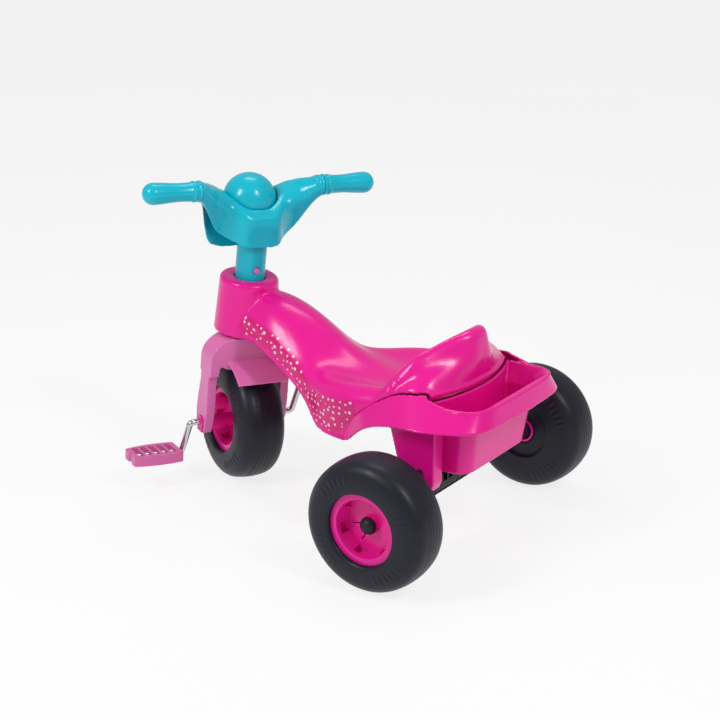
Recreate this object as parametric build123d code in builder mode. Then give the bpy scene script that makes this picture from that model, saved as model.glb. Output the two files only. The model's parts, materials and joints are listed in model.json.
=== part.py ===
from build123d import *

import os
from dataclasses import dataclass
from math import cos, radians, sin

# A child's ride-on tricycle: moulded body with a spine, seat and back rest, a carrier tub behind,
# a turning fork with handlebar, pedals on the front wheel, and two free rear wheels.
# Millimetres. X points forwards, Y to the rider's left, Z up. The ground is Z = 0.

# ---------------------------------------------------------------- driving sizes
TYRE_RADIUS = 92.5
TYRE_WIDTH = 74.0
TYRE_WALL = 3.0
TYRE_CROWN_DEPTH = 34.0
TYRE_STEP_RADIUS = 44.0
WHEELBASE = 382.0
REAR_TRACK = 430.0
REAR_OVERHANG = 103.0
FRONT_REACH = 114.0

HUB_FLANGE_RADIUS = 50.0
HUB_FLANGE_WIDTH = 9.0
HUB_FLANGE_OUT = 30.0
HUB_SPIGOT_RADIUS = 18.0
HUB_BOSS_RADIUS = 9.0
HUB_BOSS_OUT = 14.0
HUB_WALL = 3.0
HUB_POCKETS = 6

RAKE = 7.15
STEER_REST = -27.5
STEER_OFFSET = 11.8
STEM_RADIUS = 22.25
STEM_WALL = 2.8
HEAD_RELIEF_RADIUS = 24.0
HEAD_TOP_RADIUS = 43.0
HEAD_FOOT_RADIUS = 46.5
HEAD_FOOT = 142.0
HEAD_TOP = 225.4

FORK_INNER = 53.0
FORK_LEG_THICK = 14.5
FORK_CROWN_TOP = 139.0
FORK_CROWN_UNDER = 99.0
FENDER_RADIUS = 106.0
FENDER_WALL = 3.0
FENDER_HALF_WIDTH = 40.0

CRANK_ROD_RADIUS = 4.75
CRANK_THROW = 52.0
CRANK_REST = 18.0
CRANK_ARM_OUT = 88.0
CRANK_SPLAY = 3.0
PEDAL_LENGTH = 77.0
PEDAL_DEPTH = 52.0
PEDAL_HEIGHT = 15.0
PEDAL_RIBS = 5

GRIP_HEIGHT = 365.7
GRIP_BACK = 15.3
GRIP_ROOT = 97.0
GRIP_TIP = 183.0
GRIP_CORE_RADIUS = 10.0
GRIP_NOSE = 15.8
DOME_RADIUS = 39.5
DOME_AHEAD = 22.0
DOME_HEIGHT = 337.0
DOME_SUNK = 8.0
DOME_GAP = 1.5
ROOT_WALL = 12.0
COWL_DROP = 30.0
BUTTON_HEIGHT = 240.0
BUTTON_RADIUS = 4.5

BODY_WALL = 3.0
SEAT_HALF_WIDTH = 113.0
LIP_HEIGHT = 236.0
TUB_WALL = 3.0
TUB_FLOOR = 125.0
TUB_RIM = 226.0
SHELF_TOP = 206.0
SHELF_WALL = 3.0
SCREW_RADIUS = 2.0
BOSS_RADIUS = 5.0
LEG_INNER = 99.0
LEG_OUTER = 122.0
BEAM_STUB_RADIUS = 12.0
AXLE_RADIUS = 4.0
WASHER_THICK = 0.8

# ---------------------------------------------------------------- clearances
RUN_CLEAR = 0.05
SPACER_GAP = 0.2
SEAT_CLEAR = 0.3

# ---------------------------------------------------------------- places worked out from them
PEDAL_INNER = CRANK_ARM_OUT + 2 * CRANK_ROD_RADIUS
REAR_AXLE_X = -(WHEELBASE + FRONT_REACH - REAR_OVERHANG) / 2
REAR_AXLE = Vector(REAR_AXLE_X, 0, TYRE_RADIUS)
FRONT_AXLE = Vector(REAR_AXLE_X + WHEELBASE, 0, TYRE_RADIUS)
STEER_AHEAD = Vector(cos(radians(RAKE)), 0, sin(radians(RAKE)))
STEER_UP = Vector(-sin(radians(RAKE)), 0, cos(radians(RAKE)))
STEER_ORIGIN = FRONT_AXLE + STEER_AHEAD * STEER_OFFSET
TURNED_AHEAD = STEER_AHEAD * cos(radians(STEER_REST)) + Vector(0, 1, 0) * sin(radians(STEER_REST))

# ROW has its origin on the ground under the rear axle. HEAD lies on the steering axis, straight ahead,
# and TURNED is the same frame turned to where the handlebar rests.
ROW = Plane(origin=(REAR_AXLE_X, 0, 0), x_dir=(1, 0, 0), z_dir=(0, 0, 1))
HEAD = Plane(origin=STEER_ORIGIN, x_dir=STEER_AHEAD, z_dir=STEER_UP)
TURNED = Plane(origin=STEER_ORIGIN, x_dir=TURNED_AHEAD, z_dir=STEER_UP)

BUTTON_MIDDLE = TURNED.origin + TURNED.z_dir * BUTTON_HEIGHT
BUTTON_FACE = Plane(origin=BUTTON_MIDDLE, x_dir=TURNED.y_dir, z_dir=-TURNED.x_dir)
BUTTON_SIDE = Plane(origin=BUTTON_MIDDLE, x_dir=TURNED.x_dir, z_dir=-TURNED.y_dir)
DOME_FOOT = DOME_HEIGHT - DOME_SUNK
STEM_BORE = STEM_RADIUS - STEM_WALL
STEERER_RADIUS = STEM_BORE - SEAT_CLEAR
STEERER_BORE = STEERER_RADIUS - 4.0
FORK_OUTER = FORK_INNER + FORK_LEG_THICK
REST_BASE = SHELF_TOP + SEAT_CLEAR


def across(base, ahead):
    """The plane across a frame's length: its sketch runs left and up."""
    return Plane(origin=base.origin + base.x_dir * ahead, x_dir=base.y_dir, z_dir=base.x_dir)


def along(base, left):
    """The plane along a frame's length: its sketch runs ahead and up."""
    return Plane(origin=base.origin + base.y_dir * left, x_dir=base.x_dir, z_dir=-base.y_dir)


def radial(centre, spoke, outward):
    """The half plane of a turned piece: its sketch runs out from the axle and along it."""
    return Plane(origin=centre, x_dir=spoke, z_dir=spoke.cross(outward))


def both_sides(points):
    """Points seen from above, from the left edge to the middle, joined by their mirror image."""
    return list(points) + [(ahead, -left) for ahead, left in reversed(points[:-1])]


def mirrored(points):
    """Points of a half outline, given from one edge to the middle, joined by their mirror image."""
    return list(points) + [(-x, y) for x, y in reversed(points[:-1])]


# ---------------------------------------------------------------- wheels
def tyre_oval(centre, half_height, half_width):
    """A tyre's squarish oval, as wires on the sketch: crown, shoulders, walls and beads."""
    shoulder = (centre + 0.943 * half_height, 0.54 * half_width)
    wall = (centre + 0.53 * half_height, 0.946 * half_width)
    waist = (centre, half_width)
    bead = (centre - 0.37 * half_height, 0.968 * half_width)
    with BuildLine() as oval:
        ThreePointArc((shoulder[0], -shoulder[1]), (centre + half_height, 0), shoulder)
        for side in (1, -1):
            last = (shoulder[0], side * shoulder[1])
            heading = oval.edges()[0].tangent_at(1 if side > 0 else 0) * side
            for radius, width in (wall, waist, bead):
                bend = TangentArc(last, (radius, side * width), tangent=heading)
                last = (radius, side * width)
                heading = bend % 1
        Line((bead[0], bead[1]), (bead[0], -bead[1]))
    return oval.edges()


def make_tyre(centre, spoke, outward):
    """A hollow moulded tyre: open on the outward side, closed by a stepped disc on the other."""
    oval_centre = TYRE_RADIUS - TYRE_CROWN_DEPTH
    half_width = TYRE_WIDTH / 2
    step = TYRE_STEP_RADIUS
    disc_in = HUB_FLANGE_OUT
    mouth = HUB_FLANGE_RADIUS + SEAT_CLEAR
    with BuildPart() as tyre:
        with BuildSketch(radial(centre, spoke, outward)):
            make_face(tyre_oval(oval_centre, TYRE_CROWN_DEPTH, half_width))
            cavity = tyre_oval(oval_centre, TYRE_CROWN_DEPTH - TYRE_WALL, half_width - TYRE_WALL)
            make_face(cavity, mode=Mode.SUBTRACT)
            with Locations((mouth / 2, half_width)):
                Rectangle(mouth, TYRE_WIDTH, mode=Mode.SUBTRACT)
            bead_from = HUB_FLANGE_OUT - 3 * TYRE_WALL
            bead_to = half_width - TYRE_WALL / 2
            with Locations((mouth, bead_from)):
                Rectangle(TYRE_WALL, bead_to - bead_from, align=(Align.MIN, Align.MIN))
            with Locations((step - TYRE_WALL, -disc_in + TYRE_WALL)):
                step_length = half_width - TYRE_WALL / 3 - disc_in + TYRE_WALL
                Rectangle(2 * TYRE_WALL, step_length, align=(Align.MIN, Align.MAX))
            with Locations((HUB_SPIGOT_RADIUS + SEAT_CLEAR, -disc_in)):
                Rectangle(step - HUB_SPIGOT_RADIUS - SEAT_CLEAR, TYRE_WALL, align=(Align.MIN, Align.MIN))
        revolve(axis=Axis(centre, outward))
    return tyre


def make_hub(centre, spoke, outward, bore):
    """A hub: flat flange ring, deep cup with pockets round its wall, disc, boss and inner spigot."""
    cup_mouth = HUB_FLANGE_RADIUS - HUB_FLANGE_WIDTH
    cup_foot = cup_mouth - 7.0
    barrel = cup_mouth + 2 * HUB_WALL
    disc_out = 8.0
    disc_in = disc_out - HUB_WALL
    spigot_end = HUB_FLANGE_OUT + 1.5
    face = Plane(origin=centre, x_dir=spoke, z_dir=outward)
    with BuildPart() as hub:
        with BuildSketch(radial(centre, spoke, outward)):
            with BuildLine():
                Polyline(
                    (HUB_FLANGE_RADIUS, HUB_FLANGE_OUT),
                    (HUB_FLANGE_RADIUS, HUB_FLANGE_OUT - HUB_WALL),
                    (barrel, HUB_FLANGE_OUT - HUB_WALL),
                    (barrel - 2, disc_in),
                    (HUB_SPIGOT_RADIUS, disc_in),
                    (HUB_SPIGOT_RADIUS, -spigot_end),
                    (HUB_SPIGOT_RADIUS - HUB_WALL, -spigot_end),
                    (HUB_SPIGOT_RADIUS - HUB_WALL, disc_in),
                    (HUB_BOSS_RADIUS, disc_in),
                    (HUB_BOSS_RADIUS, -HUB_BOSS_OUT),
                    (bore, -HUB_BOSS_OUT),
                    (bore, HUB_BOSS_OUT),
                    (HUB_BOSS_RADIUS + 2, HUB_BOSS_OUT),
                    (HUB_BOSS_RADIUS + 4, disc_out),
                    (cup_foot, disc_out),
                    (cup_mouth, HUB_FLANGE_OUT),
                    close=True,
                )
            make_face()
        revolve(axis=Axis(centre, outward))
        with BuildSketch(face.offset(disc_out + HUB_WALL)):
            with PolarLocations((cup_foot + barrel) / 2 - 2, HUB_POCKETS, start_angle=15):
                Rectangle(barrel - cup_foot - HUB_WALL, 15)
        extrude(amount=HUB_FLANGE_OUT - disc_out - 3 * HUB_WALL, mode=Mode.SUBTRACT)
        with BuildSketch(face.offset(disc_out)):
            with PolarLocations(22.5, 2, start_angle=10, angular_range=50, endpoint=True):
                Rectangle(14, 1.8)
        extrude(amount=-HUB_WALL, mode=Mode.SUBTRACT)
    return hub


def make_cap(centre, spoke, outward):
    """A black domed push cap that holds a rear wheel on its axle."""
    seat = HUB_BOSS_OUT + SEAT_CLEAR
    rise = 9.0
    with BuildPart() as cap:
        with BuildSketch(radial(centre, spoke, outward)):
            ball = (BEAM_STUB_RADIUS**2 + rise**2) / (2 * rise)
            with Locations((0, seat + 2 + rise - ball)):
                Circle(ball)
            with Locations((0, seat + 2)):
                Rectangle(4 * ball, 4 * ball, align=(Align.CENTER, Align.MAX), mode=Mode.SUBTRACT)
                Rectangle(4 * ball, 4 * ball, align=(Align.MAX, Align.CENTER), mode=Mode.SUBTRACT)
            with Locations((0, seat)):
                Rectangle(BEAM_STUB_RADIUS, 2, align=(Align.MIN, Align.MIN))
            with Locations((0, seat)):
                Rectangle(AXLE_RADIUS + RUN_CLEAR, 5, align=(Align.MIN, Align.MIN), mode=Mode.SUBTRACT)
        revolve(axis=Axis(centre, outward))
    return cap


# ---------------------------------------------------------------- body shell
@dataclass(frozen=True)
class Station:
    """One cross section of the body: where it is, and its heights and half width."""

    ahead: float
    top: float
    mid: float
    shoulder: float
    half_width: float
    bottom: float


STATIONS = (
    Station(345, 301, 295, 268, 45, 236),
    Station(308, 298, 290, 266, 52, 228),
    Station(278, 289, 280, 255, 56, 212),
    Station(250, 277, 265, 238, 61, 196),
    Station(225, 263, 247, 222, 70, 183),
    Station(205, 250, 233, 214, 79, 168),
    Station(185, 239, 224, 213, 90, 151),
    Station(165, 230, 219, 215, 101, 147),
    Station(145, 223, 216, 218, 108, 146),
    Station(119, 217, 215, 221, 113, 147),
    Station(85, 214, 214, 224, 113, 147),
    Station(50, 214, 214, 228, 112, 147),
    Station(8, 215, 215, 231, 109, 147),
)

# The seat meets the carrier tub along this line, seen from the side.
JOIN_LINE = (
    (119, 147), (108, 176), (99, 187), (81, 202), (63, 214.6),
    (47, 224), (33, 231), (8, 236), (-12, 238),
)
SEAT_END = 8.0
SEAT_PAN = 215.0
REST_FOOT = 226.3
REST_ROUND = 12.0
LIP_OUT = 3.0
LIP_THICK = 5.0


@dataclass(frozen=True)
class RestSection:
    """One section of the back rest, seen from the side: its front foot, crest and rear edge."""

    left: float
    foot: float
    crest: float
    crest_level: float
    rear: float
    rear_level: float


REST_SECTIONS = (
    RestSection(0, 42, -18, 306.5, -31, 237),
    RestSection(30, 44, -13, 305.0, -29.5, 237),
    RestSection(55, 49, 0, 297.0, -25, 237),
    RestSection(75, 57, 16, 282.5, -19.5, 237),
    RestSection(90, 66, 32, 264.5, -14, 237),
    RestSection(100, 74, 44, 249.0, -10, 236.5),
    RestSection(107, 79, 52, 237.5, -7, 234),
    RestSection(111, 82, 57, 226.0, -6, 225),
)


def drawn_in(points, inset):
    """An open outline, drawn up, over and down, moved inwards by a wall's thickness."""
    moved = []
    for number, (ahead, up) in enumerate(points):
        before = points[max(number - 1, 0)]
        after = points[min(number + 1, len(points) - 1)]
        chord = Vector(after[0] - before[0], after[1] - before[1]).normalized()
        moved.append((ahead + inset * chord.Y, up - inset * chord.X))
    return moved


def station_points(station, inset):
    """The section's outline from its left foot over the top to the right foot."""
    wide = station.half_width - inset
    waist = (station.bottom + station.shoulder) / 2
    return mirrored(
        [
            (wide, station.bottom - 2 * inset),
            (wide, waist - inset),
            (0.985 * wide, station.shoulder - 9 - inset),
            (0.9 * wide, station.shoulder - inset),
            (0.5 * wide, station.mid - inset),
            (0, station.top - inset),
        ]
    )


def make_spine_and_seat(inset):
    """The spine and seat through their cross sections, drawn in by a wall's thickness."""
    with BuildPart() as spine:
        for station in STATIONS:
            with BuildSketch(across(ROW, station.ahead)):
                with BuildLine():
                    over = Spline(*station_points(station, inset))
                    Line(over @ 1, over @ 0)
                make_face()
        loft()
    return spine.part


def rest_curves(row, inset):
    """A back rest section from its rear edge over the rounded crest to its front foot."""
    rise = row.crest_level - row.rear_level
    foot_level = SEAT_PAN - BODY_WALL
    climb = row.crest_level - foot_level
    back = row.foot - row.crest
    turn = min(REST_ROUND, climb / 3)
    shoulder = Vector(row.crest - turn, row.crest_level - turn * (0.1 + rise / 110))
    rear = Vector(row.rear, row.rear_level)
    slope = shoulder - rear
    belly = rear + slope * 0.5 + Vector(-slope.Y, slope.X) * (0.05 + row.left / 1500)
    outline = drawn_in(
        [
            (rear.X, rear.Y),
            (belly.X, belly.Y),
            (shoulder.X, shoulder.Y),
            (row.crest, row.crest_level),
            (row.crest + 0.8 * turn, row.crest_level - 0.75 * turn),
            (row.crest + 0.36 * back, row.crest_level - 0.48 * climb),
            (row.crest + 0.62 * back, row.crest_level - 0.82 * climb),
            (row.foot, foot_level),
        ],
        inset,
    )
    rear, foot = outline[0], outline[-1]
    with BuildLine() as section:
        over = ThreePointArc(*outline[2:5])
        Spline(*outline[:3], tangents=(Vector(*outline[1]) - Vector(*rear), over % 0))
        Spline(*outline[4:], tangents=(over % 1, Vector(*foot) - Vector(*outline[-2])))
        Polyline(foot, (foot[0], REST_BASE), (rear[0], REST_BASE), rear)
    return section.edges()


def make_rest_form(inset):
    """The back rest's outside down to a flat base, drawn in by a wall's thickness."""
    rows = list(reversed(REST_SECTIONS)) + list(REST_SECTIONS[1:])
    side = [1] * len(REST_SECTIONS) + [-1] * (len(REST_SECTIONS) - 1)
    with BuildPart() as form:
        for row, sign in zip(rows, side):
            half = row.left - inset if row is REST_SECTIONS[-1] else row.left
            with BuildSketch(along(ROW, sign * half)):
                make_face(rest_curves(row, inset))
        loft()
    return form.part


def make_back_rest(gap):
    """The back rest with the lip round its rear edge, grown by a gap."""
    rear_edge = [(row.rear - LIP_OUT - gap, row.left) for row in reversed(REST_SECTIONS[:-1])]
    with BuildPart() as rest:
        add(make_rest_form(-gap))
        with BuildSketch(ROW.offset(REST_BASE - 1)):
            with Locations((SEAT_END, 0)):
                Rectangle(100, 300, align=(Align.MAX, Align.CENTER))
        extrude(amount=REST_FOOT - gap - REST_BASE + 1, mode=Mode.SUBTRACT)
        with BuildSketch(ROW.offset(LIP_HEIGHT - LIP_THICK - gap)):
            with BuildLine():
                edge = Spline(*both_sides(rear_edge))
                Line(edge @ 1, edge @ 0)
            make_face()
        extrude(amount=LIP_THICK + 2 * gap)
    return rest.part


def make_body_envelope():
    """The closed outside of the seat, spine and back rest."""
    with BuildPart() as envelope:
        add(make_spine_and_seat(0))
        add(make_back_rest(0))
    return envelope.part


def make_body_cavity(wall):
    """The space within the seat, spine and back rest, inside a wall."""
    with BuildPart() as cavity:
        add(make_spine_and_seat(wall))
        add(make_rest_form(wall))
    return cavity.part


def make_head_cone(inset):
    """The head's tapered outside, drawn in by a wall's thickness."""
    with BuildPart() as cone:
        with BuildSketch(HEAD.offset(HEAD_FOOT - inset)):
            Circle(HEAD_FOOT_RADIUS - inset)
        with BuildSketch(HEAD.offset(HEAD_TOP - inset)):
            Circle(HEAD_TOP_RADIUS - inset)
        loft()
        fillet(cone.faces().sort_by(Axis(HEAD.origin, HEAD.z_dir))[-1].edges(), 5 - inset)
    return cone.part


def make_cheek(side, gap):
    """What lies below the join line, beside the seat, on one side."""
    with BuildPart() as cheek:
        with BuildSketch(along(ROW, side * SEAT_HALF_WIDTH)):
            with BuildLine():
                join = Spline(*[(x, z + gap) for x, z in JOIN_LINE])
                Polyline(join @ 1, (-40, 238 + gap), (-40, 100), (119, 100), join @ 0)
            make_face()
        extrude(amount=14, both=True)
    return cheek.part


BOSS_SPOTS = ((25, 62), (25, -62), (66, 62), (66, -62))
def make_body_shell():
    """The main moulding: head, spine, seat and back rest, hollow and open below."""
    with BuildPart() as shell:
        add(make_body_envelope())
        with BuildSketch(ROW.offset(80)):
            with Locations((20, 0)):
                Rectangle(170, 2 * SEAT_HALF_WIDTH - 22)
        extrude(amount=SHELF_TOP + SEAT_CLEAR - 80, mode=Mode.SUBTRACT)
        for side in (1, -1):
            add(make_cheek(side, SEAT_CLEAR), mode=Mode.SUBTRACT)
        add(make_head_cone(0))
        add(make_body_cavity(BODY_WALL), mode=Mode.SUBTRACT)
        add(make_head_cone(BODY_WALL), mode=Mode.SUBTRACT)
        with BuildSketch(HEAD.offset(HEAD_FOOT)):
            Circle(HEAD_RELIEF_RADIUS + BODY_WALL)
        extrude(amount=HEAD_TOP - HEAD_FOOT - 1)
        with BuildSketch(HEAD.offset(HEAD_FOOT)):
            Circle(HEAD_FOOT_RADIUS)
        extrude(amount=BODY_WALL)
        with BuildSketch(HEAD.offset(HEAD_FOOT - 1)):
            Circle(HEAD_RELIEF_RADIUS)
        extrude(amount=HEAD_TOP - HEAD_FOOT + 2, mode=Mode.SUBTRACT)
        for level in (HEAD_FOOT + 8, HEAD_TOP - 12):
            with BuildSketch(HEAD.offset(level)):
                Circle(HEAD_RELIEF_RADIUS + 1)
                Circle(STEM_RADIUS + RUN_CLEAR, mode=Mode.SUBTRACT)
            extrude(amount=8)
        with BuildSketch(ROW.offset(SHELF_TOP + SEAT_CLEAR)):
            with Locations(*BOSS_SPOTS):
                Circle(BOSS_RADIUS)
        bosses = extrude(amount=20, mode=Mode.PRIVATE)
        add(bosses & make_body_cavity(BODY_WALL / 2))
        with BuildSketch(ROW.offset(SHELF_TOP)):
            with Locations(*BOSS_SPOTS):
                Circle(SCREW_RADIUS + RUN_CLEAR)
        extrude(amount=6, mode=Mode.SUBTRACT)
    return shell


# ---------------------------------------------------------------- carrier tub
SKIN_LOW = (
    (122, 114), (99, 123.5), (75, 144), (40, 169), (5, 191),
    (-40, 199), (-89, 175), (-113, 80), (-117, 0),
)
SKIN_HIGH = (
    (122, 95), (99, 101), (75, 101), (40, 106), (5, 108),
    (-40, 97), (-80, 88), (-90, 45), (-90, 0),
)
SKIN_LEVELS = (150.0, 245.0)
SKIRT_LINE = ((10, 200), (41, 193), (75, 179), (100, 160), (112, 150), (119, 146))


def make_skin(inset):
    """The tub's sloping outside, between two outlines seen from above."""
    with BuildPart() as skin:
        for level, outline in zip(SKIN_LEVELS, (SKIN_LOW, SKIN_HIGH)):
            side = [(x + (inset if x < -80 else 0), y - inset) for x, y in outline[:-1]]
            tail = [(outline[-1][0] + inset, 0)]
            with BuildSketch(ROW.offset(level)):
                with BuildLine():
                    edge = Spline(*side, *tail, *[(x, -y) for x, y in reversed(side)])
                    Line(edge @ 1, edge @ 0)
                make_face()
        loft(ruled=True)
    return skin.part


@dataclass(frozen=True)
class BucketLevel:
    """One outline of the bucket, seen from above."""

    level: float
    rear: float
    half_width: float
    front_side: float
    front_mid: float
    corner: float


BUCKET_LEVELS = (
    BucketLevel(TUB_FLOOR, -60, 86, -22, -38, 22),
    BucketLevel(200, -71, 97, -15, -35, 26),
    BucketLevel(TUB_RIM, -92.5, 113.5, -8, -33, 34),
)


def make_bucket(inset, lift, rise):
    """The bucket's form, drawn in by a wall, its floor lifted and its top raised."""
    with BuildPart() as bucket:
        for row in BUCKET_LEVELS:
            level = row.level + lift * (row.level == TUB_FLOOR) + rise * (row.level == TUB_RIM)
            wide = row.half_width - inset
            front = row.front_side - inset
            with BuildSketch(ROW.offset(level)) as outline:
                with BuildLine():
                    back = row.rear + inset
                    Polyline((front, wide), (back, wide), (back, -wide), (front, -wide))
                    ThreePointArc((front, -wide), (row.front_mid - inset, 0), (front, wide))
                make_face()
                fillet(outline.vertices().group_by(Axis.X)[0], row.corner - inset)
        loft(ruled=True)
    return bucket.part


BEAM_CENTRE = 97.0
BEAM_HEIGHT = 26.0
BEAM_DEPTH = 24.0
LEG_FOOT = 106.0
LEG_OUTLINE = (
    (-32, 205), (-31, 118), (-27, LEG_FOOT + 2), (-20, LEG_FOOT - 2), (-14, LEG_FOOT),
    (14, LEG_FOOT), (25, 143), (36, 185), (36, 205),
)


def make_rear_tub():
    """The carrier tub: sloping skirt, bucket, shelf under the seat and two legs for the axle."""
    with BuildPart() as tub:
        add(make_skin(0))
        add(make_skin(TUB_WALL), mode=Mode.SUBTRACT)
        with BuildSketch(along(ROW, 0)):
            with BuildLine():
                skirt = Spline(*SKIRT_LINE)
                join = Spline(*JOIN_LINE)
                Polyline(skirt @ 1, join @ 0)
                Polyline(join @ 1, (-16, TUB_RIM + 8), (-45, TUB_RIM), (-140, TUB_RIM), (-140, 200), skirt @ 0)
            make_face()
        extrude(amount=220, both=True, mode=Mode.INTERSECT)
        with BuildSketch(ROW.offset(SHELF_TOP - SHELF_WALL)):
            with Locations((-20, 0)):
                Rectangle(96, 280, align=(Align.MIN, Align.CENTER))
        shelf = extrude(amount=SHELF_WALL, mode=Mode.PRIVATE)
        add(shelf & make_skin(TUB_WALL / 2))
        add(make_bucket(0, 0, 0))
        for side in (1, -1):
            with BuildSketch(along(ROW, side * LEG_OUTER)):
                with BuildLine():
                    Polyline(*LEG_OUTLINE, close=True)
                make_face()
            extrude(amount=side * (LEG_OUTER - LEG_INNER))
        add(make_bucket(TUB_WALL, TUB_WALL, 3), mode=Mode.SUBTRACT)
        add(make_back_rest(SEAT_CLEAR), mode=Mode.SUBTRACT)
        with BuildSketch(along(ROW, 0)):
            with Locations((0, BEAM_CENTRE)):
                Rectangle(BEAM_DEPTH + 2 * SEAT_CLEAR, BEAM_HEIGHT + 2 * SEAT_CLEAR)
        extrude(amount=140, both=True, mode=Mode.SUBTRACT)
        with BuildSketch(ROW.offset(SHELF_TOP - 2 * SHELF_WALL)):
            with Locations(*BOSS_SPOTS):
                Circle(SCREW_RADIUS + RUN_CLEAR)
        extrude(amount=3 * SHELF_WALL, mode=Mode.SUBTRACT)
    return tub


# ---------------------------------------------------------------- rear axle
BEAM_WALL = 3.0
STUB_END = REAR_TRACK / 2 - HUB_BOSS_OUT - 1.2
PEG_HEIGHT = 134.0


def make_axle_beam():
    """The black cross beam: a ribbed channel open to the rear, with round stubs to the wheels."""
    with BuildPart() as beam:
        with BuildSketch(along(ROW, 0)):
            with Locations((0, BEAM_CENTRE)):
                RectangleRounded(BEAM_DEPTH, BEAM_HEIGHT, 3)
        extrude(amount=LEG_OUTER + 1, both=True)
        back_face = ROW.origin + Vector(-BEAM_DEPTH / 2, 0, BEAM_CENTRE)
        with BuildSketch(Plane(origin=back_face, x_dir=(0, -1, 0), z_dir=(-1, 0, 0))):
            with GridLocations(14.5, BEAM_HEIGHT / 2, 15, 2):
                Rectangle(11.5, BEAM_HEIGHT / 2 - BEAM_WALL)
        extrude(amount=-(BEAM_DEPTH / 2 - AXLE_RADIUS - BEAM_WALL), mode=Mode.SUBTRACT)
        with BuildSketch(along(ROW, 0)):
            with Locations((0, TYRE_RADIUS)):
                Circle(BEAM_STUB_RADIUS)
        extrude(amount=STUB_END, both=True)
        with BuildSketch(along(ROW, 0)):
            with Locations((0, TYRE_RADIUS)):
                Circle(AXLE_RADIUS + RUN_CLEAR)
        extrude(amount=STUB_END + 5, both=True, mode=Mode.SUBTRACT)
    return beam


def make_rod(base, radius, half_length):
    """A straight rod across the vehicle, with chamfered ends."""
    with BuildPart() as rod:
        with BuildSketch(Plane(origin=base, x_dir=(1, 0, 0), z_dir=(0, 1, 0))):
            Circle(radius)
        extrude(amount=half_length, both=True)
        chamfer(rod.edges().filter_by(GeomType.CIRCLE), radius / 5)
    return rod


def make_ring(centre, spoke, outward, inner, outer, start, end):
    """A plain ring or tube about an axle, from one place along it to another."""
    with BuildPart() as ring:
        with BuildSketch(Plane(origin=centre + outward * start, x_dir=spoke, z_dir=outward)):
            Circle(outer)
            Circle(inner, mode=Mode.SUBTRACT)
        extrude(amount=end - start)
    return ring


def make_tub_screws():
    """Four pan head screws that hold the seat down on the tub's shelf."""
    with BuildPart() as screws:
        head_base = SHELF_TOP - SHELF_WALL - 2.4
        with BuildSketch(ROW.offset(head_base)):
            with Locations(*BOSS_SPOTS):
                Circle(2 * SCREW_RADIUS)
        extrude(amount=2.4)
        with BuildSketch(ROW.offset(head_base + 2)):
            with Locations(*BOSS_SPOTS):
                Circle(SCREW_RADIUS)
        extrude(amount=8)
    return screws


def make_beam_pegs():
    """Two black pegs pushed through the legs above the beam."""
    with BuildPart() as pegs:
        for side in (1, -1):
            with BuildSketch(along(ROW, side * (LEG_OUTER + SEAT_CLEAR))):
                with Locations((-11, PEG_HEIGHT)):
                    RectangleRounded(8, 7, 2)
            extrude(amount=-side * 7)
    return pegs


# ---------------------------------------------------------------- fork and front wheel
WHEEL_CENTRE = TURNED.origin - TURNED.x_dir * STEER_OFFSET
LEFT = TURNED.y_dir
ARM_TURN = radians(CRANK_REST - RAKE)
ARM = TURNED.x_dir * sin(ARM_TURN) - TURNED.z_dir * cos(ARM_TURN)
LEG_LINE = ((3, 96), (5, 40), (4, -4), (-3, -16), (-11.8, -20.5), (-20, -16), (-25, -4), (-28, 40), (-32, 96))
AXLE_SLOT = CRANK_ROD_RADIUS + 3.0


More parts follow.
